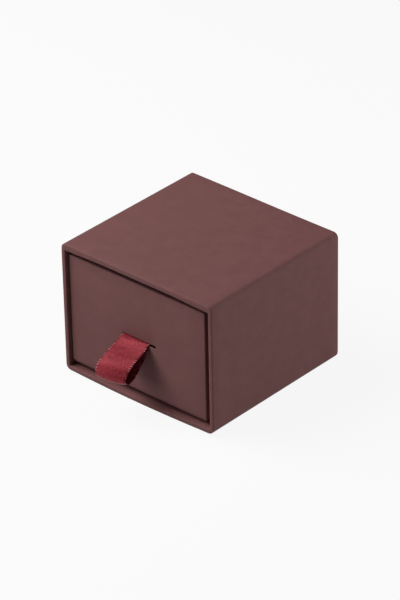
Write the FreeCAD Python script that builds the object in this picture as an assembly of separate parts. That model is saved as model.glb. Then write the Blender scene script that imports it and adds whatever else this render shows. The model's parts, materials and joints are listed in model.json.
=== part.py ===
"""Ring box with a pull-out drawer: a paper-wrapped greyboard sleeve, open at the front, and a tray.

Millimetres. The origin is the centre of the sleeve's underside, +Z is up, +X is to the right of
someone facing the box, and the drawer pulls out towards -Y.

The box is built the way a rigid paper box is. Greyboard panels make a sleeve and a tray, paper
tape stays hold their corners, and a cover paper is glued over them and turned in at the open
edges. The ribbon's two plies pass through a slit in the tray's front and are taped down inside.
The ring stands in the slot between two velvet-covered foam rolls.
"""

import FreeCAD, Part
import math
import os

Vector = FreeCAD.Vector

# Materials by thickness
board = 1.2                    # greyboard panel
paper = 0.12                   # cover paper and lining paper
stay = 0.1                     # corner tape, pressed flush into the board
wall = paper + board + paper   # a finished wall, papered on both sides

# Sleeve
sleeve_width = 57.0
sleeve_depth = 54.6
sleeve_height = 41.7
top_fold_radius = 1.65         # upper long corners
bottom_fold_radius = 2.3       # lower long corners
back_fold_radius = 0.25        # edges around the closed back
rim_fold_radius = 0.3          # cover paper folded round a cut board edge
sleeve_turn_in = 15.0          # cover paper folded into the mouth
sleeve_stay_leg = 8.0
stay_end_gap = 1.0             # a stay stops this far short of a board's edge

# Drawer, placed in the sleeve by its clearances
left_gap = 0.2                 # it stands against the left wall
right_gap = 2.2
top_gap = 2.3
floor_gap = 0.1
back_gap = 0.3                 # thickness of glue and folds at the back
recess = 1.2                   # drawer front, behind the sleeve's rim
floor_fold_radius = 2.3        # folds from the tray's floor to its walls
corner_radius = 0.6            # taped upright corners
drawer_turn_in = 10.0          # cover paper folded over the tray's rim
drawer_stay_leg = 9.0

# Ribbon pull
ribbon_width = 10.0
ribbon_ply = 0.25
slit_level = 18.1              # slit's centre line above the tray's underside
slit_offset = 0.65             # slit's centre to the right of the tray's
slit_left_spare = 0.15         # the ribbon lies at the slit's left end
slit_right_spare = 2.55
slit_play = 0.15               # above and below the two plies
tape_margin = 4.0              # tape past the tails, on three sides
tape_floor_gap = 0.7           # tape's foot above the tray's floor
bend_gap = 0.05                # between the loop's bend and the tray's front
tail_gap = 0.02                # between the loop's bend and the tails
fold_reach = 8.05              # centre of the loop's rounded fold, from the bend
fold_drop = 6.95
fold_radius = 1.75             # middle of the ply
fold_upper_angle = 47.0        # where the upper ply meets the fold, in degrees
fold_lower_angle = -128.0      # where the lower ply leaves it

# Ring pad
pad_side_clearance = 0.3
pad_tape_clearance = 0.4       # in front, behind the ribbon's taped tails
base_foam_height = 12.0
pad_card = 1.0
roll_height = 11.0
roll_radius = 5.0              # upper edges of each foam roll
roll_foot_radius = 0.6
velvet = 0.7
ring_slot = 0.4                # gap left between the two velvet faces

past = 5.0                     # how far a cutting block reaches past what it cuts

# Sleeve planes
sleeve_left = -sleeve_width / 2
sleeve_right = sleeve_width / 2
sleeve_front = -sleeve_depth / 2
sleeve_back = sleeve_depth / 2

# Drawer planes
drawer_left = sleeve_left + wall + left_gap
drawer_right = sleeve_right - wall - right_gap
drawer_front = sleeve_front + recess
drawer_back = sleeve_back - wall - back_gap
drawer_bottom = wall + floor_gap
drawer_top = sleeve_height - wall - top_gap

# Slit and ribbon
slit_x = (drawer_left + drawer_right) / 2 + slit_offset
slit_z = drawer_bottom + slit_level
slit_length = slit_left_spare + ribbon_width + slit_right_spare
slit_span = (slit_x - slit_length / 2, slit_x + slit_length / 2)
ribbon_span = (slit_span[0] + slit_left_spare, slit_span[1] - slit_right_spare)
plies = (slit_z - ribbon_ply, slit_z + ribbon_ply)
hinge_y = drawer_front - bend_gap - ribbon_ply
tails_front = drawer_front + wall
tails_back = tails_front + 2 * ribbon_ply


def block(spans):
    """A box from three (low, high) spans."""
    (x0, x1), (y0, y1), (z0, z1) = spans
    return Part.makeBox(x1 - x0, y1 - y0, z1 - z0, Vector(x0, y0, z0))


def shrink(spans, inset):
    return [(low + inset, high - inset) for low, high in spans]


def rounded_prism(spans, axis, radii):
    """A box whose four edges along axis have radii, in turn from the corner of both low sides."""
    across = [k for k in range(3) if k != axis]
    (u0, u1), (v0, v1) = spans[across[0]], spans[across[1]]

    def point(u, v):
        at = [0.0, 0.0, 0.0]
        at[across[0]], at[across[1]], at[axis] = u, v, spans[axis][0]
        return Vector(*at)

    corners = ((u0, v0, 1, 1), (u1, v0, -1, 1), (u1, v1, -1, -1), (u0, v1, 1, -1))
    to_middle = 1 - math.sqrt(0.5)
    arcs = []
    for turn, ((u, v, du, dv), radius) in enumerate(zip(corners, radii)):
        along_u = point(u + du * radius, v)
        along_v = point(u, v + dv * radius)
        middle = point(u + du * radius * to_middle, v + dv * radius * to_middle)
        ends = (along_v, along_u) if turn % 2 == 0 else (along_u, along_v)
        arcs.append((ends[0], middle, ends[1]))
    edges = []
    for this, following in zip(arcs, arcs[1:] + arcs[:1]):
        edges.append(Part.Arc(*this).toShape())
        edges.append(Part.LineSegment(this[2], following[0]).toShape())
    length = [0.0, 0.0, 0.0]
    length[axis] = spans[axis][1] - spans[axis][0]
    return Part.Face(Part.Wire(edges)).extrude(Vector(*length))


def round_form(spans, plan, front_view, side_view):
    """A box rounded as seen from above, from the front and from the side, by four radii each."""
    form = rounded_prism(spans, 2, plan)
    form = form.common(rounded_prism(spans, 1, front_view))
    return form.common(rounded_prism(spans, 0, side_view))


def inner_radii(radii, inset):
    """The radii of the same corners, inset deeper, and never quite sharp."""
    least = stay / 2
    return [max(radius - inset, least) for radius in radii]


def sleeve_form(inset):
    """The sleeve's outer shape, inset on every side."""
    spans = ((sleeve_left, sleeve_right), (sleeve_front, sleeve_back), (0.0, sleeve_height))
    plan = (rim_fold_radius, rim_fold_radius, back_fold_radius, back_fold_radius)
    front_view = (bottom_fold_radius, bottom_fold_radius, top_fold_radius, top_fold_radius)
    side_view = (rim_fold_radius, back_fold_radius, back_fold_radius, rim_fold_radius)
    views = [inner_radii(view, inset) for view in (plan, front_view, side_view)]
    return round_form(shrink(spans, inset), *views)


def drawer_form(inset):
    """The tray's outer shape, inset on every side."""
    spans = ((drawer_left, drawer_right), (drawer_front, drawer_back), (drawer_bottom, drawer_top))
    plan = [corner_radius] * 4
    upright = (floor_fold_radius, floor_fold_radius, rim_fold_radius, rim_fold_radius)
    views = [inner_radii(view, inset) for view in (plan, upright, upright)]
    return round_form(shrink(spans, inset), *views)


def cut_all(shape, tools):
    for tool in tools:
        shape = shape.cut(tool)
    return shape


def sleeve_parts():
    """Boards, stays, cover paper and lining of the sleeve."""
    core = sleeve_form(paper)
    skin, depth = paper, paper + board
    inside_x = (sleeve_left + depth, sleeve_right - depth)
    inside_y = (sleeve_front - past, sleeve_back - depth)
    inside_z = (depth, sleeve_height - depth)
    wide = (sleeve_left, sleeve_right)
    ahead_of_back = (sleeve_front, sleeve_back - depth)

    # Corner stays, along the four long corners
    shell = core.cut(sleeve_form(paper + stay))
    stay_y = (sleeve_front + skin + stay_end_gap, sleeve_back - skin - stay_end_gap)
    sides = {"left": (sleeve_left, sleeve_left + sleeve_stay_leg),
             "right": (sleeve_right - sleeve_stay_leg, sleeve_right)}
    levels = {"top": (sleeve_height - sleeve_stay_leg, sleeve_height),
              "bottom": (0.0, sleeve_stay_leg)}
    stays = {}
    for level, z_span in levels.items():
        for side, x_span in sides.items():
            stays[f"sleeve_stay_{level}_{side}"] = shell.common(block((x_span, stay_y, z_span)))

    # Greyboard panels: top and bottom run full width, the sides stand between them
    panels = {
        "sleeve_top_board": (wide, ahead_of_back, (sleeve_height - depth, sleeve_height)),
        "sleeve_bottom_board": (wide, ahead_of_back, (0.0, depth)),
        "sleeve_left_board": ((sleeve_left, sleeve_left + depth), ahead_of_back, inside_z),
        "sleeve_right_board": ((sleeve_right - depth, sleeve_right), ahead_of_back, inside_z),
        "sleeve_back_board": (wide, (sleeve_back - depth, sleeve_back), (0.0, sleeve_height)),
    }
    parts = {name: cut_all(core.common(block(spans)), stays.values()) for name, spans in panels.items()}
    parts.update(stays)

    # Papers: everything between the outer form and the finished mouth that is not board
    boards = core.cut(block((inside_x, inside_y, inside_z)))
    mouth = block((shrink([wide], wall)[0], (sleeve_front - past, sleeve_back - wall),
                   (wall, sleeve_height - wall)))
    papers = sleeve_form(0.0).cut(boards).cut(mouth)
    turned = sleeve_front + skin + sleeve_turn_in
    behind_turn_in = block((inside_x, (turned, sleeve_back - depth), inside_z))
    back_sheet = block((inside_x, (sleeve_back - wall, sleeve_back - depth), inside_z))
    flat_x = (sleeve_left + bottom_fold_radius, sleeve_right - bottom_fold_radius)
    base = block((flat_x, (sleeve_front, sleeve_back - back_fold_radius), (0.0, wall)))
    cover = papers.cut(behind_turn_in)
    parts["sleeve_wrap"] = cover.cut(base)
    parts["sleeve_base_sheet"] = cover.common(base)
    parts["sleeve_lining"] = papers.common(behind_turn_in).cut(back_sheet)
    parts["sleeve_back_lining"] = papers.common(back_sheet)
    return parts


def drawer_parts():
    """Boards, stays, cover paper and lining of the tray."""
    core = drawer_form(paper)
    skin, depth = paper, paper + board
    wide, deep = (drawer_left, drawer_right), (drawer_front, drawer_back)
    inside_x, inside_y = shrink([wide, deep], depth)
    above_floor = (drawer_bottom + depth, drawer_top)

    # Corner stays, up the four corners
    shell = core.cut(drawer_form(paper + stay))
    stay_z = (drawer_bottom + floor_fold_radius, drawer_top - skin - stay_end_gap)
    ends = {"front": (drawer_front, drawer_front + drawer_stay_leg),
            "back": (drawer_back - drawer_stay_leg, drawer_back)}
    sides = {"left": (drawer_left, drawer_left + drawer_stay_leg),
             "right": (drawer_right - drawer_stay_leg, drawer_right)}
    stays = {}
    for end, y_span in ends.items():
        for side, x_span in sides.items():
            stays[f"drawer_stay_{end}_{side}"] = shell.common(block((x_span, y_span, stay_z)))

    # Greyboard panels: front and back run full width, the sides stand between them
    panels = {
        "drawer_floor_board": (wide, deep, (drawer_bottom, drawer_bottom + depth)),
        "drawer_front_board": (wide, (drawer_front, drawer_front + depth), above_floor),
        "drawer_back_board": (wide, (drawer_back - depth, drawer_back), above_floor),
        "drawer_left_board": ((drawer_left, drawer_left + depth), inside_y, above_floor),
        "drawer_right_board": ((drawer_right - depth, drawer_right), inside_y, above_floor),
    }
    parts = {name: cut_all(core.common(block(spans)), stays.values()) for name, spans in panels.items()}
    parts.update(stays)

    # Papers: cover paper outside and over the rim, lining below it, and a sheet on the floor
    boards = core.cut(block((inside_x, inside_y, (drawer_bottom + depth, drawer_top + past))))
    hollow_x, hollow_y = shrink([wide, deep], wall)
    hollow = block((hollow_x, hollow_y, (drawer_bottom + wall, drawer_top + past)))
    papers = drawer_form(0.0).cut(boards).cut(hollow)
    turned = drawer_top - skin - drawer_turn_in
    below_turn_in = block((inside_x, inside_y, (drawer_bottom + depth, turned)))
    floor_sheet = block((inside_x, inside_y, (drawer_bottom + depth, drawer_bottom + wall)))
    parts["drawer_wrap"] = papers.cut(below_turn_in)
    parts["drawer_lining"] = papers.common(below_turn_in).cut(floor_sheet)
    parts["drawer_floor_sheet"] = papers.common(floor_sheet)

    # Slit for the ribbon, through cover paper, board and lining
    through_front = (drawer_front - past, drawer_front + past)
    slit = block((slit_span, through_front, (plies[0] - slit_play, plies[1] + slit_play)))
    for name in ("drawer_front_board", "drawer_wrap", "drawer_lining"):
        parts[name] = parts[name].cut(slit)
    return parts


def bent_ply(centre, radius, begin, finish):
    """One circular stretch of a ribbon ply, seen from the side, between two angles in degrees.

    centre is (reach in front of the bend, height above it).
    """
    outer, inner = radius + ribbon_ply / 2, radius - ribbon_ply / 2

    def point(distance, angle):
        turn = math.radians(angle)
        reach = centre[0] + distance * math.cos(turn)
        height = centre[1] + distance * math.sin(turn)
        return Vector(ribbon_span[0], hinge_y - reach, slit_z + height)

    middle = (begin + finish) / 2
    corners = [point(outer, begin), point(outer, finish), point(inner, finish), point(inner, begin)]
    edges = [
        Part.Arc(corners[0], point(outer, middle), corners[1]).toShape(),
        Part.LineSegment(corners[1], corners[2]).toShape(),
        Part.Arc(corners[2], point(inner, middle), corners[3]).toShape(),
        Part.LineSegment(corners[3], corners[0]).toShape(),
    ]
    return Part.Face(Part.Wire(edges)).extrude(Vector(ribbon_width, 0, 0))


def ply_to_fold(fold_angle, root_height):
    """The circular ply from the bend to the fold, tangent to the fold at fold_angle."""
    turn = math.radians(fold_angle)
    normal = (math.cos(turn), math.sin(turn))
    joint = (fold_reach + fold_radius * normal[0], -fold_drop + fold_radius * normal[1])
    chord = (joint[0], joint[1] - root_height)
    chord_square = chord[0] ** 2 + chord[1] ** 2
    radius = chord_square / (2 * (chord[0] * normal[0] + chord[1] * normal[1]))
    centre = (joint[0] - radius * normal[0], joint[1] - radius * normal[1])
    root_angle = math.degrees(math.atan2(root_height - centre[1], -centre[0]))
    if root_angle - fold_angle > 180:
        root_angle -= 360
    return bent_ply(centre, radius, root_angle, fold_angle)


def ribbon_parts():
    """The ribbon's loop in front of the tray, its tails inside it, and the tape over the tails."""
    upper = ply_to_fold(fold_upper_angle, ribbon_ply / 2)
    lower = ply_to_fold(fold_lower_angle, -ribbon_ply / 2)
    fold = bent_ply((fold_reach, -fold_drop), fold_radius, fold_lower_angle, fold_upper_angle)
    bend = Part.makeCylinder(ribbon_ply, ribbon_width, Vector(ribbon_span[0], hinge_y, slit_z), Vector(1, 0, 0))
    loop = bend.fuse([upper, fold, lower]).removeSplitter()

    tape_foot = drawer_bottom + wall + tape_floor_gap
    tails_foot = tape_foot + tape_margin
    tail = block((ribbon_span, (hinge_y + ribbon_ply + tail_gap, tails_back), plies))
    tail = tail.fuse(block((ribbon_span, (tails_front, tails_back), (tails_foot, plies[1]))))
    tail = tail.removeSplitter()

    # The tape lies on the lining all round the tails and steps up over them
    around = (ribbon_span[0] - tape_margin, ribbon_span[1] + tape_margin)
    raised = (ribbon_span[0] - paper, ribbon_span[1] + paper)
    tape_top = plies[0] - paper
    tape = block((around, (tails_front, tails_front + paper), (tape_foot, tape_top)))
    step = block((raised, (tails_front, tails_back + paper), (tails_foot - paper, tape_top)))
    tape = tape.fuse(step).removeSplitter().cut(tail)
    return {"ribbon_loop": loop, "ribbon_tail": tail, "ribbon_tail_tape": tape}


def pad_parts():
    """Foam base, card, two foam rolls and the velvet that covers them."""
    pad_x = (drawer_left + wall + pad_side_clearance, drawer_right - wall - pad_side_clearance)
    pad_y = (tails_back + paper + pad_tape_clearance, drawer_back - wall - pad_side_clearance)
    base_z = (drawer_bottom + wall, drawer_bottom + wall + base_foam_height)
    card_z = (base_z[1] + velvet, base_z[1] + velvet + pad_card)
    roll_z = (card_z[1], card_z[1] + roll_height)

    # Each roll fills its half of the velvet, and the ring slot lies between the two halves
    middle = (pad_y[0] + pad_y[1]) / 2
    halves = {"front": (pad_y[0], middle - ring_slot / 2), "rear": (middle + ring_slot / 2, pad_y[1])}
    roll_radii = (roll_foot_radius, roll_foot_radius, roll_radius, roll_radius)
    cover_radii = (roll_foot_radius, roll_foot_radius, roll_radius + velvet, roll_radius + velvet)
    parts, covers = {}, []
    for name, half in halves.items():
        inside = (half[0] + velvet, half[1] - velvet)
        parts[f"{name}_foam_roll"] = rounded_prism((pad_x, inside, roll_z), 0, roll_radii)
        outer = (pad_x, half, (base_z[1], roll_z[1] + velvet))
        covers.append(rounded_prism(outer, 0, cover_radii))
    parts["pad_card"] = block((pad_x, (pad_y[0] + velvet, pad_y[1] - velvet), card_z))
    under_slot = block((pad_x, (middle - ring_slot, middle + ring_slot), (base_z[1], card_z[1] + velvet)))
    cover = covers[0].fuse([covers[1], under_slot]).removeSplitter()
    parts["velvet_cover"] = cut_all(cover, list(parts.values()))
    parts["base_foam"] = block((pad_x, pad_y, base_z))
    return parts


def main():
    os.makedirs("parts", exist_ok=True)
    parts = {}
    for group in (sleeve_parts, drawer_parts, ribbon_parts, pad_parts):
        parts.update(group())
    for name, shape in parts.items():
        shape.exportStep(f"parts/{name}.step")
        print(name, len(shape.Solids), "solid(s),", round(shape.Volume, 3), "mm3")


main()
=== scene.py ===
import bmesh
import bpy
import json
import math
from mathutils import Matrix, Vector


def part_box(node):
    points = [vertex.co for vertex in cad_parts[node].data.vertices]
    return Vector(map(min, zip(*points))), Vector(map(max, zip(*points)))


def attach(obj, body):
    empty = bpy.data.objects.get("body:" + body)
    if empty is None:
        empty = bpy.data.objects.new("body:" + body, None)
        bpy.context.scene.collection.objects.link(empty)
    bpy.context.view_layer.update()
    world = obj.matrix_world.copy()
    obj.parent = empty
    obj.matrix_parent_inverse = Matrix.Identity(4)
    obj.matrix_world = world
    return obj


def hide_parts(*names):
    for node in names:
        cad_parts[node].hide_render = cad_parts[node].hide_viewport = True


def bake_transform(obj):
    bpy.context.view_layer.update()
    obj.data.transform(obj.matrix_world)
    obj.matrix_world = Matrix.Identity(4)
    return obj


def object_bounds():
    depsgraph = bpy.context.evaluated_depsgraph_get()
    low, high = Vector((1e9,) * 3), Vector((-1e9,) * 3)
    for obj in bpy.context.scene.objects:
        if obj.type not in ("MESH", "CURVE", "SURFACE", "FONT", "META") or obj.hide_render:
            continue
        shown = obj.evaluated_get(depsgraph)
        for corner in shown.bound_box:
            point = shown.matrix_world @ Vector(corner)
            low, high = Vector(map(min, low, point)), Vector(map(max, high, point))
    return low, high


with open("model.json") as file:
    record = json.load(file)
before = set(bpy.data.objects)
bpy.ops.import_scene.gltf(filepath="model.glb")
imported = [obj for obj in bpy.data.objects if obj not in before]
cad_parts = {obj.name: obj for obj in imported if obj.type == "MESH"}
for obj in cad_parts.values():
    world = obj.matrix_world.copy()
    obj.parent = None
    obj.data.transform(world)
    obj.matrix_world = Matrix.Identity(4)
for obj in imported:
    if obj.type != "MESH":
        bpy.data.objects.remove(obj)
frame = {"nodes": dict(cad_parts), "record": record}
cadLow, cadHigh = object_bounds()
mm = 0.001


def addBlock(name, low, high):
    # a cube, sized and placed
    bpy.ops.object.select_all(action="DESELECT")
    bpy.ops.mesh.primitive_cube_add(size=1, location=(low + high) / 2, scale=high - low)
    piece = bpy.context.object
    piece.name = piece.data.name = name
    bpy.ops.object.transform_apply(location=True, rotation=True, scale=True)
    return piece


def editing(piece):
    bpy.ops.object.select_all(action="DESELECT")
    bpy.context.view_layer.objects.active = piece
    piece.select_set(True)
    bpy.ops.object.mode_set(mode="EDIT")


def doneEditing():
    bpy.ops.object.mode_set(mode="OBJECT")


def pick(kind, test):
    # selects the verts, edges or faces that pass the test, and says how many
    bpy.ops.mesh.select_mode(type={"verts": "VERT", "edges": "EDGE", "faces": "FACE"}[kind])
    bpy.ops.mesh.select_all(action="DESELECT")
    mesh = bmesh.from_edit_mesh(bpy.context.object.data)
    picked = [part for part in getattr(mesh, kind) if test(part)]
    for part in picked:
        part.select_set(True)
    bmesh.update_edit_mesh(bpy.context.object.data)
    return len(picked)


def near(a, b):
    return abs(a - b) < 0.01 * mm


def edgeAlong(axis, test):
    # an edge that runs along one axis, and whose middle passes the test
    def passes(edge):
        run = edge.verts[1].co - edge.verts[0].co
        across = [run[k] for k in range(3) if k != axis]
        return all(near(step, 0) for step in across) and test((edge.verts[0].co + edge.verts[1].co) / 2)
    return passes


def edgeInPlane(axis, level, sharp=0.0):
    # an edge that lies in a plane, between faces that meet at more than the angle sharp
    def passes(edge):
        if not all(near(vert.co[axis], level) for vert in edge.verts):
            return False
        return edge.calc_face_angle(0.0) >= sharp
    return passes


def faceFacing(axis, level):
    return lambda face: all(near(vert.co[axis], level) for vert in face.verts)


def bevelPicked(radius, segments):
    bpy.ops.mesh.bevel(offset=radius, offset_type="OFFSET", segments=segments, profile=0.5, affect="EDGES")


def cutAt(axis, levels):
    # slices the whole mesh at each level, which gives it vertices there
    normal = [1.0 if k == axis else 0.0 for k in range(3)]
    for level in levels:
        bpy.ops.mesh.select_all(action="SELECT")
        bpy.ops.mesh.bisect(plane_co=[level * n for n in normal], plane_no=normal)


def spread(low, high, count):
    # count levels strictly between low and high
    return [low + (high - low) * (k + 1) / (count + 1) for k in range(count)]


def applyModifier(piece, kind, **settings):
    bpy.ops.object.select_all(action="DESELECT")
    bpy.context.view_layer.objects.active = piece
    piece.select_set(True)
    modifier = piece.modifiers.new(kind.lower(), kind)
    for name, value in settings.items():
        setattr(modifier, name, value)
    bpy.ops.object.modifier_apply(modifier=modifier.name)


def smoothed(piece, degrees=35):
    bpy.ops.object.select_all(action="DESELECT")
    bpy.context.view_layer.objects.active = piece
    piece.select_set(True)
    bpy.ops.object.shade_smooth_by_angle(angle=math.radians(degrees))


def finished(piece, material, body, slot, *replaced):
    piece.data.materials.clear()
    piece.data.materials.append(material)
    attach(piece, body)
    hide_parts(*replaced)
    print("made", piece.name, len(piece.data.polygons), "faces")


camera = {
    "azimuth": 42.28,
    "elevation": 30.73,
    "roll": -1.2,
    "distance": 1.0,
    "lens": 209.1,
    "sensor": 36,
    "aimRight": 0.3 * mm,
    "aimUp": -0.24 * mm,
}

light = {
    "sky": 0.08,
    "skyColour": "fbfbfb",
    "softboxes": {          # turn from the front, height in degrees, distance, size, watts
        "key": (-61, 48, 0.45, 0.33, 2.04),
        "front": (-27, 14, 0.45, 0.15, 0.36),
        "rear": (126, 12, 0.45, 0.3, 1.07),
    },
    "floorSize": 4,
    "floorColour": "9a9a9a",
    "floorWhite": 0.9,          # what the camera and reflections see of it
    "floorShadow": 0.07,        # how much of the box's shadow they see on it
    "floorDrop": 0.76 * mm,     # just under the sleeve's bowed floor
}


def linear(code):
    # sRGB hex to a linear colour
    def channel(k):
        value = int(code[k:k + 2], 16) / 255
        return value / 12.92 if value <= 0.04045 else ((value + 0.055) / 1.055) ** 2.4
    return (channel(0), channel(2), channel(4), 1.0)


def addNode(tree, kind, inputs={}, **settings):
    # one node: settings are its options, inputs its values and the sockets that feed it
    node = tree.nodes.new("ShaderNode" + kind)
    for name, value in settings.items():
        setattr(node, name, value)
    for name, value in inputs.items():
        if isinstance(value, bpy.types.NodeSocket):
            tree.links.new(value, node.inputs[name])
        else:
            node.inputs[name].default_value = value
    return node


def towards(turn, height):
    # a direction, from its turn from the front and its height, in radians
    return Vector((math.sin(turn) * math.cos(height), -math.cos(turn) * math.cos(height), math.sin(height)))


def addCamera():
    turn, tilt, roll = (math.radians(camera[name]) for name in ("azimuth", "elevation", "roll"))
    back = towards(turn, tilt)
    right = Vector((math.cos(turn), math.sin(turn), 0))
    up = back.cross(right)
    rolledRight = math.cos(roll) * right + math.sin(roll) * up
    rolledUp = math.cos(roll) * up - math.sin(roll) * right
    axes = Matrix((rolledRight, rolledUp, back)).transposed()
    middle = Vector((0, 0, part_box("sleeve_wrap")[1].z / 2))
    place = axes @ Vector((-camera["aimRight"], -camera["aimUp"], camera["distance"])) + middle
    data = bpy.data.cameras.new("camera")
    data.sensor_width, data.lens = camera["sensor"], camera["lens"]
    view = bpy.data.objects.new("camera", data)
    view.matrix_world = Matrix.Translation(place) @ axes.to_4x4()
    bpy.context.scene.collection.objects.link(view)
    bpy.context.scene.camera = view


def addLight():
    world = bpy.data.worlds.new("studio")
    world.use_nodes = True
    sky = world.node_tree.nodes["Background"]
    sky.inputs["Color"].default_value = linear(light["skyColour"])
    sky.inputs["Strength"].default_value = light["sky"]
    bpy.context.scene.world = world

    target = Vector((0, 0, cadHigh.z / 2))
    for name, (turn, height, distance, size, watts) in light["softboxes"].items():
        data = bpy.data.lights.new(name, "AREA")
        data.size, data.energy = size, watts
        away = towards(math.radians(turn), math.radians(height))
        softbox = bpy.data.objects.new(name, data)
        softbox.matrix_world = (Matrix.Translation(target + away * distance)
                                @ (-away).to_track_quat("-Z", "Y").to_matrix().to_4x4())
        bpy.context.scene.collection.objects.link(softbox)


def addFloor():
    bpy.ops.object.select_all(action="DESELECT")
    bpy.ops.mesh.primitive_plane_add(size=light["floorSize"], location=(0, 0, -light["floorDrop"]))
    floor = bpy.context.object
    floor.name = "studioFloor"
    bpy.ops.object.transform_apply(location=True, rotation=True, scale=True)
    # matt grey card, which the camera and reflections see as white paper with a faint shadow
    material = bpy.data.materials.new("floorCard")
    material.use_nodes = True
    tree = material.node_tree
    tree.nodes.clear()
    seen = addNode(tree, "LightPath")
    card = addNode(tree, "BsdfDiffuse", {"Color": linear(light["floorColour"])})
    white, shadow = light["floorWhite"], light["floorShadow"]
    shadowKept = addNode(tree, "BsdfDiffuse", {"Color": (shadow, shadow, shadow, 1.0)})
    whitePaper = addNode(tree, "Emission", {"Color": (white, white, white, 1.0), "Strength": 1.0})
    paleCard = addNode(tree, "AddShader")
    tree.links.new(shadowKept.outputs[0], paleCard.inputs[0])
    tree.links.new(whitePaper.outputs[0], paleCard.inputs[1])
    mirrored = addNode(tree, "Math", {0: seen.outputs["Is Camera Ray"],
                                      1: seen.outputs["Is Glossy Ray"]}, operation="MAXIMUM")
    shown = addNode(tree, "Math", {0: mirrored.outputs[0],
                                   1: seen.outputs["Is Transmission Ray"]}, operation="MAXIMUM")
    choice = addNode(tree, "MixShader", {"Fac": shown.outputs[0]})
    tree.links.new(card.outputs[0], choice.inputs[1])
    tree.links.new(paleCard.outputs[0], choice.inputs[2])
    addNode(tree, "OutputMaterial", {"Surface": choice.outputs[0]})
    floor.data.materials.append(material)


addCamera()
addLight()
addFloor()
bpy.context.scene.view_settings.view_transform = "Standard"
print("camera, light and floor are set")


def perMm(size):
    # noise scale whose features are about this many millimetres across
    return 1 / (size * mm)


def newMaterial(name, colour, roughness, specular):
    material = bpy.data.materials.new(name)
    material.use_nodes = True
    tree = material.node_tree
    surface = tree.nodes["Principled BSDF"]
    surface.inputs["Base Color"].default_value = linear(colour)
    surface.inputs["Roughness"].default_value = roughness
    surface.inputs["Specular IOR Level"].default_value = specular
    place = addNode(tree, "TexCoord").outputs["Object"]
    return material, tree, surface, place


def twoTone(tree, surface, pattern, dark, pale, low=0.35, high=0.65):
    # the pattern runs the colour from dark to pale
    ramp = addNode(tree, "ValToRGB", {"Fac": pattern})
    darkEnd, paleEnd = ramp.color_ramp.elements
    darkEnd.color, paleEnd.color = linear(dark), linear(pale)
    darkEnd.position, paleEnd.position = low, high
    tree.links.new(ramp.outputs["Color"], surface.inputs["Base Color"])


def relief(tree, surface, height, depth, after=None):
    # bump of a given depth in millimetres
    inputs = {"Height": height, "Distance": depth * mm, "Strength": 1.0}
    if after:
        inputs["Normal"] = after.outputs["Normal"]
    bump = addNode(tree, "Bump", inputs)
    tree.links.new(bump.outputs["Normal"], surface.inputs["Normal"])
    return bump


paperFinish = {             # sizes and depths of patterns are in millimetres in every finish
    "roughness": 0.72,
    "specular": 0.35,
    "cloudSize": 4.0,
    "waveSize": 9.0,        # the board's slow waves, which the paper follows
    "waveDepth": 0.05,
    "toothSize": 0.35,      # drawn at twice its real size, or it wouldn't show
    "toothDepth": 0.006,
}


def wrapPaper(name, dark, pale):
    # uncoated cover paper, dyed in the pulp and pressed smooth: matt, with a faint cloudiness
    # and a fine tooth
    finish = paperFinish
    material, tree, surface, place = newMaterial(name, pale, finish["roughness"], finish["specular"])
    cloud = addNode(tree, "TexNoise", {"Vector": place, "Scale": perMm(finish["cloudSize"]),
                                       "Detail": 4.0, "Roughness": 0.6})
    twoTone(tree, surface, cloud.outputs["Fac"], dark, pale)
    wave = addNode(tree, "TexNoise", {"Vector": place, "Scale": perMm(finish["waveSize"]), "Detail": 1.0})
    tooth = addNode(tree, "TexNoise", {"Vector": place, "Scale": perMm(finish["toothSize"]), "Detail": 3.0})
    waves = relief(tree, surface, wave.outputs["Fac"], finish["waveDepth"])
    relief(tree, surface, tooth.outputs["Fac"], finish["toothDepth"], waves)
    return material


def greyboard():
    # board couched from mixed waste pulp: warm grey, with darker and paler flecks of fibre
    material, tree, surface, place = newMaterial("greyboardPulp", "7c7770", 0.9, 0.25)
    fibres = addNode(tree, "Mapping", {"Vector": place, "Scale": (1.0, 0.35, 1.0)})
    flecks = addNode(tree, "TexNoise", {"Vector": fibres.outputs[0], "Scale": perMm(0.6),
                                        "Detail": 6.0, "Roughness": 0.75})
    twoTone(tree, surface, flecks.outputs["Fac"], "6c675f", "8f8a80", 0.4, 0.6)
    relief(tree, surface, flecks.outputs["Fac"], 0.03)
    return material


def kraftTape():
    # gummed kraft paper: long brown fibres along the tape, slightly glossy from the gum
    material, tree, surface, place = newMaterial("gummedKraft", "a98a5f", 0.6, 0.4)
    along = addNode(tree, "Mapping", {"Vector": place, "Scale": (1.0, 0.2, 0.2)})
    fibre = addNode(tree, "TexNoise", {"Vector": along.outputs[0], "Scale": perMm(0.5), "Detail": 5.0})
    twoTone(tree, surface, fibre.outputs["Fac"], "94764c", "b99b70")
    relief(tree, surface, fibre.outputs["Fac"], 0.01)
    return material


def whiteCard():
    # uncoated folding card: off-white, matt, with a soft grain
    material, tree, surface, place = newMaterial("foldingCard", "dedbd2", 0.85, 0.3)
    grain = addNode(tree, "TexNoise", {"Vector": place, "Scale": perMm(0.8), "Detail": 4.0})
    twoTone(tree, surface, grain.outputs["Fac"], "d5d1c6", "e4e1d9")
    relief(tree, surface, grain.outputs["Fac"], 0.01)
    return material


def foam():
    # cut polyurethane foam: charcoal, matt, with the open cells of the cut face
    material, tree, surface, place = newMaterial("openCellFoam", "35332f", 0.95, 0.15)
    cells = addNode(tree, "TexVoronoi", {"Vector": place, "Scale": perMm(0.7), "Randomness": 1.0})
    twoTone(tree, surface, cells.outputs["Distance"], "1f1d1b", "45423d", 0.1, 0.6)
    relief(tree, surface, cells.outputs["Distance"], 0.15)
    return material


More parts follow.
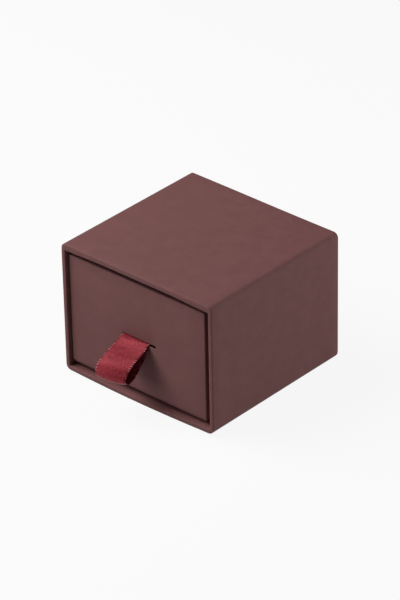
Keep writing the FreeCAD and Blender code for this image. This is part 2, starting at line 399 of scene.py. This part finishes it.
def velvet():
    # cut-pile velvet, glued round the foam: nearly black in the pile and pale where it turns away
    material, tree, surface, place = newMaterial("cutPileVelvet", "231516", 0.95, 0.1)
    brushed = addNode(tree, "TexNoise", {"Vector": place, "Scale": perMm(5.0), "Detail": 3.0})
    twoTone(tree, surface, brushed.outputs["Fac"], "1d1112", "2d1c1d")
    pile = addNode(tree, "TexNoise", {"Vector": place, "Scale": perMm(0.25),
                                      "Detail": 4.0, "Roughness": 0.8})
    relief(tree, surface, pile.outputs["Fac"], 0.12)
    surface.inputs["Sheen Weight"].default_value = 0.7
    surface.inputs["Sheen Roughness"].default_value = 0.35
    surface.inputs["Sheen Tint"].default_value = linear("8c6a66")
    return material


weave = {
    "plain": "842a35",      # its colour where the threads can't be told apart
    "threadPitch": 0.4,     # drawn at about twice the real spacing, or it wouldn't show
    "floatLength": 1.1,
    "threadDark": "601520",
    "threadPale": "a23a44",
    "threadDepth": 0.06,
    "selvedgeWidth": 0.55,
    "selvedgeBlur": 0.01,   # in ribbon widths
    "picotPitch": 0.78,     # little knots where the filling thread turns back at the edge
    "picotSpread": 1.3,     # the knots come loose and tight over about this length
    "picotDark": "4e121b",
    "picotPale": "c8747b",
    "picotDepth": 0.08,
    "roughness": 0.46,
    "specular": 0.36,
    "ior": 1.8,
    "shine": "ff6a72",
    "anisotropic": 0.8,
    "sheen": 0.8,
    "sheenRoughness": 0.3,
    "sheenTint": "ff5560",
}


def satin():
    # polyester satin ribbon: crimson, lengthwise floats that shine red across the fold, and a
    # firm woven edge with a row of small pale knots. The UV map is in ribbon widths both ways.
    material, tree, surface, place = newMaterial(
        "wovenSatin", weave["plain"], weave["roughness"], weave["specular"])
    width = ribbon["width"]
    uv = addNode(tree, "UVMap").outputs["UV"]
    across = addNode(tree, "SeparateXYZ", {"Vector": uv})
    fromMiddle = addNode(tree, "Math", {0: across.outputs["X"], 1: 0.5}, operation="SUBTRACT")
    offMiddle = addNode(tree, "Math", {0: fromMiddle.outputs[0]}, operation="ABSOLUTE")
    edgeStart, blur = 0.5 - weave["selvedgeWidth"] / width, weave["selvedgeBlur"]
    edge = addNode(tree, "MapRange", {"Value": offMiddle.outputs[0], "From Min": edgeStart - blur,
                                      "From Max": edgeStart + blur})
    knotTurn = addNode(tree, "Math", {0: across.outputs["Y"],
                                      1: 2 * math.pi * width / weave["picotPitch"]}, operation="MULTIPLY")
    knots = addNode(tree, "Math", {0: knotTurn.outputs[0]}, operation="SINE")
    uneven = addNode(tree, "TexNoise", {"Vector": place, "Scale": perMm(weave["picotSpread"]),
                                        "Detail": 2.0})
    loose = addNode(tree, "MapRange", {"Value": uneven.outputs["Fac"], "From Min": 0.38, "From Max": 0.62,
                                       "To Min": -1.2, "To Max": 0.3})
    knotHeight = addNode(tree, "Math", {0: knots.outputs[0], 1: loose.outputs["Result"]}, operation="ADD")
    knotTone = addNode(tree, "MapRange", {"Value": knotHeight.outputs[0], "From Min": -0.3,
                                          "From Max": 0.9})
    floats = addNode(tree, "Mapping", {"Vector": uv, "Scale": (width / weave["threadPitch"],
                                                              width / weave["floatLength"], 1.0)})
    threads = addNode(tree, "TexNoise", {"Vector": floats.outputs[0], "Scale": 1.0, "Detail": 3.0,
                                         "Roughness": 0.7})
    body = addNode(tree, "ValToRGB", {"Fac": threads.outputs["Fac"]})
    bodyDark, bodyPale = body.color_ramp.elements
    bodyDark.color, bodyPale.color = linear(weave["threadDark"]), linear(weave["threadPale"])
    bodyDark.position, bodyPale.position = 0.35, 0.65
    bead = addNode(tree, "ValToRGB", {"Fac": knotTone.outputs["Result"]})
    beadDark, beadPale = bead.color_ramp.elements
    beadDark.color, beadPale.color = linear(weave["picotDark"]), linear(weave["picotPale"])
    colour = addNode(tree, "Mix", {"Factor": edge.outputs["Result"], "A": body.outputs["Color"],
                                   "B": bead.outputs["Color"]}, data_type="RGBA")
    tree.links.new(colour.outputs["Result"], surface.inputs["Base Color"])
    threadBump = relief(tree, surface, threads.outputs["Fac"], weave["threadDepth"])
    beadHeight = addNode(tree, "Math", {0: knotTone.outputs["Result"], 1: edge.outputs["Result"]},
                         operation="MULTIPLY")
    relief(tree, surface, beadHeight.outputs[0], weave["picotDepth"], threadBump)
    surface.inputs["IOR"].default_value = weave["ior"]
    surface.inputs["Specular Tint"].default_value = linear(weave["shine"])
    surface.inputs["Anisotropic"].default_value = weave["anisotropic"]
    surface.inputs["Sheen Weight"].default_value = weave["sheen"]
    surface.inputs["Sheen Roughness"].default_value = weave["sheenRoughness"]
    surface.inputs["Sheen Tint"].default_value = linear(weave["sheenTint"])
    acrossRibbon = addNode(tree, "Tangent", direction_type="UV_MAP", uv_map="UVMap")
    tree.links.new(acrossRibbon.outputs[0], surface.inputs["Tangent"])
    return material


# Each station is the ribbon's left edge and its right edge, in millimetres: x, reach in front of
# the drawer's face, and height. They run from the inner ply's foot, out through the slit, round
# the fold, and back in to the outer ply's foot.
ribbon = {
    "width": 10.0,
    "thickness": 0.2,
    "rows": 360,
    "columns": 28,
    "crown": 0.5,           # how far the fold's middle stands out
    "crownStart": 4.0,      # the crown begins to grow at this reach
    "crownGrowth": 5.0,     # and is full this much further out
    "mouthLevel": 19.6,     # height of the slit's mouth
    "blendReach": 2.4,      # the bend from drawer to pull is spread over this much
    "stations": [
        ((-6.50, -1.57, 8.00), (3.50, -1.57, 8.00)),
        ((-6.50, -1.57, 12.0), (3.50, -1.57, 12.0)),
        ((-6.50, -1.57, 16.0), (3.50, -1.57, 16.0)),
        ((-6.50, -1.57, 18.7), (3.50, -1.57, 18.7)),
        ((-6.50, -1.25, 19.28), (3.50, -1.25, 19.28)),
        ((-6.50, -0.60, 19.38), (3.50, -0.60, 19.38)),
        ((-6.50, 0.12, 19.24), (3.52, 0.12, 19.15)),
        ((-6.42, 0.75, 18.55), (3.65, 0.52, 18.30)),
        ((-6.30, 1.80, 17.35), (3.80, 1.25, 17.15)),
        ((-6.20, 3.60, 15.60), (3.90, 2.90, 15.50)),
        ((-6.15, 5.60, 13.60), (3.95, 4.60, 13.80)),
        ((-6.15, 7.60, 11.80), (3.95, 6.40, 12.15)),
        ((-6.20, 9.20, 10.65), (3.85, 7.90, 11.15)),
        ((-6.30, 10.40, 10.20), (3.70, 9.00, 10.90)),
        ((-6.45, 11.40, 10.95), (3.60, 9.75, 11.30)),
        ((-6.55, 11.75, 12.10), (3.50, 9.95, 12.10)),
        ((-6.55, 11.55, 13.40), (3.45, 9.60, 13.05)),
        ((-6.55, 10.80, 14.60), (3.45, 8.80, 14.10)),
        ((-6.55, 9.40, 15.60), (3.45, 7.50, 15.30)),
        ((-6.55, 7.60, 16.50), (3.45, 5.90, 16.35)),
        ((-6.55, 5.60, 17.35), (3.45, 4.20, 17.05)),
        ((-6.55, 3.60, 18.10), (3.45, 2.50, 17.75)),
        ((-6.55, 1.80, 19.00), (3.45, 1.15, 18.50)),
        ((-6.53, 0.45, 19.56), (3.47, 0.35, 19.24)),
        ((-6.50, -0.50, 19.64), (3.50, -0.50, 19.64)),
        ((-6.50, -1.40, 19.58), (3.50, -1.40, 19.58)),
        ((-6.50, -1.80, 19.10), (3.50, -1.80, 19.10)),
        ((-6.50, -1.82, 16.0), (3.50, -1.82, 16.0)),
        ((-6.50, -1.82, 12.0), (3.50, -1.82, 12.0)),
        ((-6.50, -1.82, 8.00), (3.50, -1.82, 8.00)),
    ],
}


def throughPoints(points, steps, between=24):
    # a smooth curve through the points, cut into equal steps along its length
    fine = []
    ends = [points[0] * 2 - points[1], *points, points[-1] * 2 - points[-2]]
    for before, a, b, after in zip(ends, ends[1:], ends[2:], ends[3:]):
        for k in range(between):
            t = k / between
            fine.append(0.5 * (2 * a + (b - before) * t + (2 * before - 5 * a + 4 * b - after) * t ** 2
                               + (3 * a - before - 3 * b + after) * t ** 3))
    fine.append(points[-1])
    lengths = [0.0]
    for a, b in zip(fine, fine[1:]):
        lengths.append(lengths[-1] + (b - a).length)
    even, k = [], 0
    for step in range(steps + 1):
        at = lengths[-1] * step / steps
        while k < len(lengths) - 2 and lengths[k + 1] < at:
            k += 1
        share = (at - lengths[k]) / (lengths[k + 1] - lengths[k])
        even.append(fine[k].lerp(fine[k + 1], share))
    return even, lengths[-1]


def makeRibbon():
    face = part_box("drawer_wrap")[0].y
    edges = []
    for side in (0, 1):
        points = [Vector((x * mm, face - reach * mm, z * mm))
                  for x, reach, z in (station[side] for station in ribbon["stations"])]
        edges.append(throughPoints(points, ribbon["rows"]))
    (left, leftLength), (right, rightLength) = edges
    length = (leftLength + rightLength) / 2

    # a flat grid, which takes the ribbon's path row by row
    bpy.ops.object.select_all(action="DESELECT")
    bpy.ops.mesh.primitive_grid_add(x_subdivisions=ribbon["columns"], y_subdivisions=ribbon["rows"], size=1)
    piece = bpy.context.object
    piece.name = piece.data.name = "ribbon"
    uvs = piece.data.uv_layers.active.data
    flat = [vert.co.copy() for vert in piece.data.vertices]
    for loop in piece.data.loops:
        at = flat[loop.vertex_index]
        uvs[loop.index].uv = (at.x + 0.5, (at.y + 0.5) * length / (ribbon["width"] * mm))
    for vert in piece.data.vertices:
        row = round((vert.co.y + 0.5) * ribbon["rows"])
        across = vert.co.x + 0.5
        middleOut = 1 - (2 * across - 1) ** 2
        ahead, behind = min(row + 1, ribbon["rows"]), max(row - 1, 0)
        along = (left[ahead] + right[ahead] - left[behind] - right[behind]).normalized()
        outward = (right[row] - left[row]).cross(along).normalized()
        middle = (left[row] + right[row]) / 2
        reach = (face - middle.y) / mm
        atFold = max(0.0, min(1.0, (reach - ribbon["crownStart"]) / ribbon["crownGrowth"]))
        crown = ribbon["crown"] * mm * middleOut * atFold ** 2
        vert.co = left[row].lerp(right[row], across) + outward * crown
    applyModifier(piece, "SOLIDIFY", thickness=ribbon["thickness"] * mm, offset=0)
    smoothed(piece, 50)
    piece.data.materials.append(satin())
    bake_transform(piece)
    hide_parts("ribbon_loop", "ribbon_tail")
    print("made the ribbon,", round(length / mm, 1), "mm long")


coverPaper = wrapPaper("matCoverPaper", "754b4a", "7a4f4e")
liningPaper = wrapPaper("matLiningPaper", "714948", "764d4c")
boardPulp, tape, card = greyboard(), kraftTape(), whiteCard()
rollFoam, coverVelvet = foam(), velvet()

nodeMaterials = {
    "greyboard": boardPulp,
    "paper_tape": tape,
    "cover_paper": coverPaper,
    "lining_paper": liningPaper,
    "white_card": card,
}
for row in frame["record"]["subparts"]:
    material = nodeMaterials.get(row["material_slot"])
    if material:
        node = frame["nodes"][row["node"]]
        node.data.materials.clear()
        node.data.materials.append(material)
print("materials are on the boards, papers and tapes")

paper = {
    "thickness": 0.12 * mm,
    "wall": 1.44 * mm,      # greyboard papered on both sides
    "rimFold": 0.3 * mm,
    "rimSteps": 3,
}

sleevePaper = {
    "topFold": 1.65 * mm,
    "bottomFold": 2.3 * mm,
    "tightFold": 1.65 * mm,     # the lower left edge was folded harder
    "foldSteps": 8,
    "backFold": 0.25 * mm,
    "backSteps": 3,
    "backMargin": 1.2 * mm,     # the sheet pasted on the back stops short of its edges
    "turnIn": 15.12 * mm,
    "merge": 0.03 * mm,         # crowded points in the mouth's corners become one
    "cutsAcross": 23,           # the flat panels are cut up, so that they can sag
    "cutsAlong": 19,
    "cutsUp": 11,
    "foldMargin": 2.4 * mm,     # cuts keep this far from the lower folds
    "topMargin": 1.7 * mm,
    "mouthMargin": 0.4 * mm,
    "floorSag": 0.75 * mm,      # the floor has bowed down along the mouth
    "floorSagAt": -4.35 * mm,   # most of it left of the middle
    "floorSagReach": 29 * mm,
    "ceilingFold": 0.3 * mm,    # the paper turned in under the ceiling stands off the board
    "ceilingFoldReach": 6 * mm,
    "ceilingSag": 0.4 * mm,     # and hangs lower at both ends
    "ceilingSagReach": 15 * mm,
    "skew": 0.4 * mm,           # the upper left corner at the back isn't quite square
    "skewReach": 46 * mm,
}


def pull(step, reach, falloff="SMOOTH"):
    # moves what is picked, and what is near it less and less
    bpy.ops.transform.translate(value=step, use_proportional_edit=True,
                                proportional_edit_falloff=falloff, proportional_size=reach)


def atMouth(vert, front):
    return vert.co.y < front + 0.5 * mm


def sagFloor(front):
    # pulls down the floor's front edge at one spot
    spot = sleevePaper["floorSagAt"]
    pick("verts", lambda vert: near(vert.co.x, spot) and vert.co.z < 2.5 * mm and atMouth(vert, front))
    pull((0, 0, -sleevePaper["floorSag"]), sleevePaper["floorSagReach"], "INVERSE_SQUARE")


def makeSleeveWrap():
    low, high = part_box("sleeve_wrap")
    middle = (low + high) / 2
    piece = addBlock("sleeveWrap", low, high)
    editing(piece)
    pick("edges", edgeAlong(1, lambda at: at.z > middle.z))
    bevelPicked(sleevePaper["topFold"], sleevePaper["foldSteps"])
    pick("edges", edgeAlong(1, lambda at: at.z < middle.z and at.x > middle.x))
    bevelPicked(sleevePaper["bottomFold"], sleevePaper["foldSteps"])
    pick("edges", edgeAlong(1, lambda at: at.z < middle.z and at.x < low.x + 0.1 * mm))
    bevelPicked(sleevePaper["tightFold"], sleevePaper["foldSteps"])
    pick("edges", edgeInPlane(1, high.y))
    bevelPicked(sleevePaper["backFold"], sleevePaper["backSteps"])
    # the back sheet, pasted over the turned-down cover paper
    pick("faces", faceFacing(1, high.y))
    bpy.ops.mesh.inset(thickness=sleevePaper["backMargin"])
    bpy.ops.mesh.extrude_region_move(TRANSFORM_OT_translate={"value": (0, paper["thickness"], 0)})
    # the mouth, with the paper turned in
    pick("faces", faceFacing(1, low.y))
    bpy.ops.mesh.inset(thickness=paper["wall"])
    bpy.ops.mesh.extrude_region_move(TRANSFORM_OT_translate={"value": (0, sleevePaper["turnIn"], 0)})
    bpy.ops.mesh.delete(type="FACE")
    pick("edges", edgeInPlane(1, low.y, 1.0))
    bevelPicked(paper["rimFold"], paper["rimSteps"])
    bpy.ops.mesh.select_all(action="SELECT")
    bpy.ops.mesh.remove_doubles(threshold=sleevePaper["merge"])
    margin, mouthMargin = sleevePaper["foldMargin"], sleevePaper["mouthMargin"]
    cutAt(0, spread(low.x + margin, high.x - margin, sleevePaper["cutsAcross"]))
    cutAt(1, spread(low.y + mouthMargin, high.y - mouthMargin, sleevePaper["cutsAlong"]))
    cutAt(2, spread(low.z + margin, high.z - sleevePaper["topMargin"], sleevePaper["cutsUp"]))
    sagFloor(low.y)
    # the upper left corner at the back
    pick("verts", lambda vert: vert.co.x < low.x + 2 * mm and vert.co.z > high.z - 2 * mm
         and vert.co.y > high.y - 0.3 * mm)
    pull((0, sleevePaper["skew"], 0), sleevePaper["skewReach"])
    # the ceiling's edge and then its ends, with everything but the turned-in paper hidden
    ceiling, grain = high.z - paper["wall"], 0.02 * mm
    pick("verts", lambda vert: vert.co.z > ceiling + 0.35 * mm or vert.co.z < middle.z)
    bpy.ops.mesh.hide(unselected=False)
    pick("verts", lambda vert: not vert.hide and vert.co.z > ceiling - grain and atMouth(vert, low.y))
    pull((0, 0, -sleevePaper["ceilingFold"]), sleevePaper["ceilingFoldReach"])
    ceiling -= sleevePaper["ceilingFold"]
    pick("verts", lambda vert: not vert.hide and abs(vert.co.x) > high.x - paper["wall"] - 0.5 * mm
         and vert.co.z > ceiling - grain and atMouth(vert, low.y))
    pull((0, 0, -sleevePaper["ceilingSag"]), sleevePaper["ceilingSagReach"])
    bpy.ops.mesh.reveal(select=False)
    doneEditing()
    applyModifier(piece, "SOLIDIFY", thickness=paper["thickness"], offset=-1)
    smoothed(piece, 30)
    finished(piece, coverPaper, "sleeve", "cover_paper", "sleeve_wrap", "sleeve_base_sheet")


def makeBottomBoard():
    low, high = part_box("sleeve_bottom_board")
    sleeveLow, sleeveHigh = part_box("sleeve_wrap")
    fold = sleevePaper["bottomFold"] - paper["thickness"]
    # its folds are larger than the board is thick, so it starts taller and is cut down
    piece = addBlock("bottomBoard", low, high + Vector((0, 0, 5 * mm)))
    editing(piece)
    pick("edges", edgeAlong(1, lambda at: near(at.z, low.z)))
    bevelPicked(fold, sleevePaper["foldSteps"])
    bpy.ops.mesh.select_all(action="SELECT")
    bpy.ops.mesh.bisect(plane_co=(0, 0, high.z), plane_no=(0, 0, 1), clear_outer=True, use_fill=True)
    # cut where the paper is cut, so that it sags with the paper
    margin = sleevePaper["foldMargin"]
    cutAt(0, spread(sleeveLow.x + margin, sleeveHigh.x - margin, sleevePaper["cutsAcross"]))
    cutAt(1, spread(low.y + sleevePaper["mouthMargin"], high.y, sleevePaper["cutsAlong"]))
    sagFloor(sleeveLow.y)
    doneEditing()
    smoothed(piece, 30)
    finished(piece, boardPulp, "sleeve", "greyboard", "sleeve_bottom_board")


drawerPaper = {
    "floorFold": 2.3 * mm,
    "floorSteps": 8,
    "corner": 0.35 * mm,
    "cornerSteps": 4,
    "turnIn": 10.12 * mm,
    "slitLeft": -6.7 * mm,
    "slitRight": 6.0 * mm,
    "slitLow": 19.24 * mm,
    "slitHigh": 20.04 * mm,
    "slitEdge": 0.14 * mm,      # the cut edge is pressed in round the slit
    "slitSteps": ((0.5, 0.12), (0.3, 0.3), (0.2, 0.6)),     # shares of slitEdge: inwards, and deeper
    "cuts": 11,
    "cutMargin": 2.4 * mm,
}


def makeDrawerWrap():
    low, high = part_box("drawer_wrap")
    middle = (low + high) / 2
    piece = addBlock("drawerWrap", low, high)
    editing(piece)
    pick("edges", lambda edge: all(near(vert.co.z, low.z) for vert in edge.verts))
    bevelPicked(drawerPaper["floorFold"], drawerPaper["floorSteps"])

    def atCorner(edge):
        # an edge that runs up one of the four corners, folds and all
        spots = [(vert.co.x - middle.x, vert.co.y - middle.y) for vert in edge.verts]
        insets = [((high.x - low.x) / 2 - abs(x), (high.y - low.y) / 2 - abs(y)) for x, y in spots]
        together = spots[0][0] * spots[1][0] > 0 and spots[0][1] * spots[1][1] > 0
        outside = all(inset[0] < drawerPaper["floorFold"] * 0.99 for inset in insets)
        sharp = edge.calc_face_angle(0.0) > 0.4
        return together and outside and sharp and all(near(a, b) for a, b in insets)

    pick("faces", faceFacing(2, high.z))
    bpy.ops.mesh.inset(thickness=paper["wall"])
    bpy.ops.mesh.extrude_region_move(TRANSFORM_OT_translate={"value": (0, 0, -drawerPaper["turnIn"])})
    bpy.ops.mesh.delete(type="FACE")
    pick("edges", atCorner)
    bevelPicked(drawerPaper["corner"], drawerPaper["cornerSteps"])
    pick("edges", edgeInPlane(2, high.z, 1.0))
    bevelPicked(paper["rimFold"], paper["rimSteps"])
    # the slit in the front, and the paper pressed into it
    edge = drawerPaper["slitEdge"]
    cutAt(0, (drawerPaper["slitLeft"] - edge, drawerPaper["slitRight"] + edge))
    cutAt(2, (drawerPaper["slitLow"] - edge, drawerPaper["slitHigh"] + edge))

    def inSlit(face):
        at = face.calc_center_median()
        return (at.y < low.y + 0.01 * mm and drawerPaper["slitLeft"] < at.x < drawerPaper["slitRight"]
                and drawerPaper["slitLow"] < at.z < drawerPaper["slitHigh"])

    pick("faces", inSlit)
    for inwards, deeper in drawerPaper["slitSteps"]:
        bpy.ops.mesh.inset(thickness=edge * inwards, depth=-edge * deeper)
    bpy.ops.mesh.extrude_region_move(TRANSFORM_OT_translate={"value": (0, paper["wall"] - edge, 0)})
    bpy.ops.mesh.delete(type="FACE")
    margin, cuts = drawerPaper["cutMargin"], drawerPaper["cuts"]
    cutAt(0, spread(low.x + margin, high.x - margin, cuts))
    cutAt(1, spread(low.y + margin, high.y - margin, cuts))
    doneEditing()
    applyModifier(piece, "SOLIDIFY", thickness=paper["thickness"], offset=-1)
    smoothed(piece, 30)
    finished(piece, coverPaper, "drawer", "cover_paper", "drawer_wrap")


pad = {
    "velvet": 0.7 * mm,
    "rollTop": 5.7 * mm,        # radius of a covered roll's upper edges
    "rollTopSteps": 10,
    "rollEnd": 0.8 * mm,        # and of its end edges
    "rollEndSteps": 3,
    "slimmer": 0.3 * mm,        # each roll starts this much smaller, and swells
    "voxel": 0.75 * mm,
    "held": 0.8 * mm,           # the underside is held up to this height
    "pressure": 4.0,
    "swellCap": 0.45 * mm,
    "enlarged": 10,             # cloth is simulated ten times larger
    "frames": 20,
    "ringSlot": 0.4 * mm,
    "stripReach": 0.9 * mm,     # the velvet under the slot, to each side of its middle
    "stripShorter": 1 * mm,
    "stripEdge": 0.3 * mm,
    "velvetDrawn": 0.9,         # share of its thickness, which keeps it clear of the foam
    "fill": 0.9,
}


def swell(piece, floor):
    # the cover is blown up by cloth pressure over its foam, with its underside held
    scale = pad["enlarged"]
    editing(piece)
    bpy.ops.mesh.select_all(action="SELECT")
    bpy.ops.transform.resize(value=(scale, scale, scale), center_override=(0, 0, 0))
    doneEditing()
    applyModifier(piece, "REMESH", mode="VOXEL", voxel_size=pad["voxel"] * scale)
    before = [vert.co.copy() for vert in piece.data.vertices]
    held = piece.vertex_groups.new(name="held")
    heldBelow = (floor + pad["held"]) * scale
    held.add([vert.index for vert in piece.data.vertices if vert.co.z < heldBelow], 1.0, "REPLACE")
    cloth = piece.modifiers.new("cloth", "CLOTH")
    cloth.settings.use_pressure = True
    cloth.settings.uniform_pressure_force = pad["pressure"]
    cloth.settings.effector_weights.gravity = 0
    cloth.settings.vertex_group_mass = "held"
    cloth.point_cache.frame_start, cloth.point_cache.frame_end = 1, pad["frames"]
    for step in range(1, pad["frames"] + 1):
        bpy.context.scene.frame_set(step)
    bpy.ops.object.modifier_apply(modifier="cloth")
    bpy.context.scene.frame_set(1)
    cap = pad["swellCap"] * scale
    for vert, was in zip(piece.data.vertices, before):
        moved = vert.co - was
        if moved.length > cap:
            vert.co = was + moved * (cap / moved.length)
    editing(piece)
    bpy.ops.mesh.select_all(action="SELECT")
    bpy.ops.mesh.vertices_smooth(factor=0.5, repeat=3)
    bpy.ops.transform.resize(value=(1 / scale, 1 / scale, 1 / scale), center_override=(0, 0, 0))
    doneEditing()


def makeRoll(name, low, high):
    # one covered roll: round along the top, square where it stands
    inset = Vector((1, 1, 1)) * pad["slimmer"]
    piece = addBlock(name, low + Vector((inset.x, inset.y, 0)), high - inset)
    editing(piece)
    pick("edges", edgeAlong(0, lambda at: at.z > low.z + 2 * mm))
    bevelPicked(pad["rollTop"] - pad["slimmer"], pad["rollTopSteps"])
    pick("edges", lambda edge: edge.calc_face_angle(0.0) > 1.0
         and max(vert.co.z for vert in edge.verts) > low.z + 0.1 * mm)
    bevelPicked(pad["rollEnd"], pad["rollEndSteps"])
    doneEditing()
    swell(piece, low.z)
    return piece


def shrunk(piece, name, distance):
    # a copy of the piece, in from its surface by the distance
    bpy.ops.object.select_all(action="DESELECT")
    bpy.context.view_layer.objects.active = piece
    piece.select_set(True)
    bpy.ops.object.duplicate()
    copy = bpy.context.object
    copy.name = copy.data.name = name
    applyModifier(copy, "DISPLACE", strength=-distance, mid_level=0.0)
    return copy


def makePad():
    low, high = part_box("velvet_cover")
    middle = (low.y + high.y) / 2
    gap = pad["ringSlot"] / 2
    rolls = {
        "front": (low, Vector((high.x, middle - gap, high.z))),
        "rear": (Vector((low.x, middle + gap, low.z)), high),
    }
    covers = []
    for name, (rollLow, rollHigh) in rolls.items():
        cover = makeRoll(name + "Cover", rollLow, rollHigh)
        core = shrunk(cover, name + "FoamRoll", pad["velvet"])
        smoothed(core, 60)
        finished(core, rollFoam, "drawer", "foam", name + "_foam_roll")
        applyModifier(cover, "SOLIDIFY", thickness=pad["velvet"] * pad["velvetDrawn"], offset=-1)
        covers.append(cover)
    # the velvet runs on from one roll to the other under the slot
    reach, shorter = pad["stripReach"], pad["stripShorter"]
    strip = addBlock("slotStrip", Vector((low.x + shorter, middle - reach, low.z)),
                     Vector((high.x - shorter, middle + reach, low.z + pad["velvet"])))
    editing(strip)
    pick("edges", edgeAlong(0, lambda at: at.z > low.z + 0.1 * mm))
    bevelPicked(pad["stripEdge"], 3)
    doneEditing()
    bpy.ops.object.select_all(action="DESELECT")
    for piece in (strip, *covers):
        piece.select_set(True)
    bpy.context.view_layer.objects.active = covers[0]
    bpy.ops.object.join()
    velvetCover = covers[0]
    velvetCover.name = velvetCover.data.name = "velvetCover"
    smoothed(velvetCover, 60)
    finished(velvetCover, coverVelvet, "drawer", "velvet", "velvet_cover")


foamBase = {
    "edge": 0.5 * mm,
    "edgeSteps": 3,
    "cuts": (15, 15, 5),
    "cutMargin": 1 * mm,
    "pullIn": 0.35 * mm,        # its sides pull in between the corners, as cut foam's do
    "pullReach": 19 * mm,
    "fill": 0.95,
}


def makeBaseFoam():
    low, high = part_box("base_foam")
    middle = (low + high) / 2
    piece = addBlock("baseFoam", low, high)
    editing(piece)
    pick("edges", lambda edge: True)
    bevelPicked(foamBase["edge"], foamBase["edgeSteps"])
    for axis, count in enumerate(foamBase["cuts"]):
        cutAt(axis, spread(low[axis] + foamBase["cutMargin"], high[axis] - foamBase["cutMargin"], count))
    for axis, side in ((0, low.x), (0, high.x), (1, low.y), (1, high.y)):
        def atSideMiddle(vert):
            along, up = vert.co[1 - axis] - middle[1 - axis], vert.co.z - middle.z
            return near(vert.co[axis], side) and abs(along) < 2 * mm and abs(up) < 1 * mm

        pick("verts", atSideMiddle)
        step = Vector((0, 0, 0))
        step[axis] = foamBase["pullIn"] * (1 if side < middle[axis] else -1)
        pull(step, foamBase["pullReach"])
    doneEditing()
    smoothed(piece, 40)
    finished(piece, rollFoam, "drawer", "foam", "base_foam")


makeSleeveWrap()
makeBottomBoard()
makeDrawerWrap()
print("the papered sleeve and drawer are made")
makeBaseFoam()
makePad()
print("the ring pad is made")
makeRibbon()
